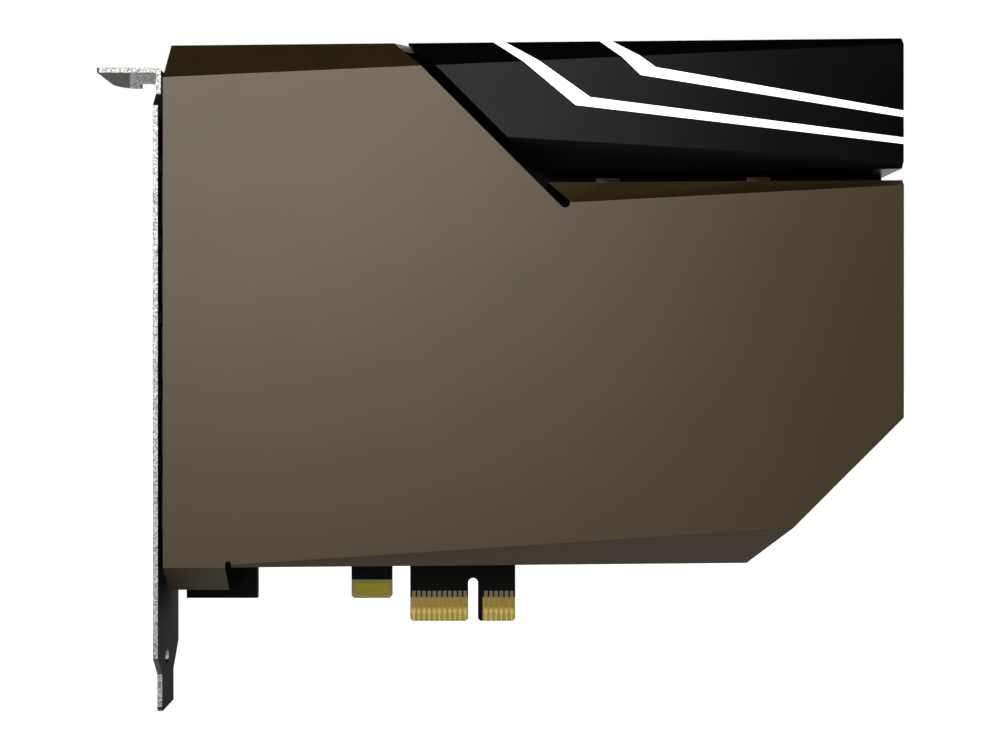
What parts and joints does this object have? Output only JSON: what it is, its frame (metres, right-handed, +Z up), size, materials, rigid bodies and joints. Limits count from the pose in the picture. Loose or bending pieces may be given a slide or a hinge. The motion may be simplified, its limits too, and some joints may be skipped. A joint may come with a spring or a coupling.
{
  "type": "sound card",
  "caption": "Flat audio expansion card with a folded bronze cover, black corner panel with white light bars, gold slot contacts and a steel bracket with sockets.",
  "frame": {"origin": "middle of the key notch, at the bottom edge of the slot contacts, half-way through the board", "axes": "+X along the slot away from the bracket, +Z up out of the slot, -Y towards the component side"},
  "size_m": [0.1493, 0.0187, 0.1252],
  "materials": {
    "bronze_sheet": "satin bronze anodised sheet",
    "black_panel": "satin black moulding",
    "light_bar": "white translucent moulding",
    "board": "black solder mask",
    "gold": "gold plated copper",
    "steel": "grained zinc plated steel",
    "screw": "plated steel",
    "post": "turned brass",
    "jack_body": "black moulding",
    "jack_bushing": "gold plated brass",
    "chip": "moulded epoxy",
    "can": "bare can",
    "film": "dipped plastic",
    "relay": "pale moulding",
    "ferrite": "sintered ferrite",
    "emitter": "white package"
  },
  "bodies": {
    "root": {"main_cover": "bronze_sheet", "corner_panel": "black_panel", "light_bar_lower": "light_bar", "light_bar_upper": "light_bar", "circuit_board": "board", "edge_contacts_front": "gold", "edge_contacts_back": "gold", "ground_pad_front": "gold", "ground_pad_back": "gold", "io_bracket": "steel", "cover_posts": "post", "panel_posts": "post", "cover_screws": "screw", "bracket_screws": "screw", "bracket_nuts": "screw", "audio_processor": "chip", "converter_chip": "chip", "amplifier_chips": "chip", "output_transistors": "chip", "regulators": "chip", "electrolytic_capacitors": "can", "film_capacitors": "film", "relays": "relay", "crystal": "can", "chokes": "ferrite", "small_parts": "ferrite", "light_emitters": "emitter", "jack_body_1": "jack_body", "jack_bushing_1": "jack_bushing", "jack_body_2": "jack_body", "jack_bushing_2": "jack_bushing", "jack_body_3": "jack_body", "jack_bushing_3": "jack_bushing", "jack_body_4": "jack_body", "jack_bushing_4": "jack_bushing", "jack_body_5": "jack_body", "jack_bushing_5": "jack_bushing"}
  },
  "joints": []
}
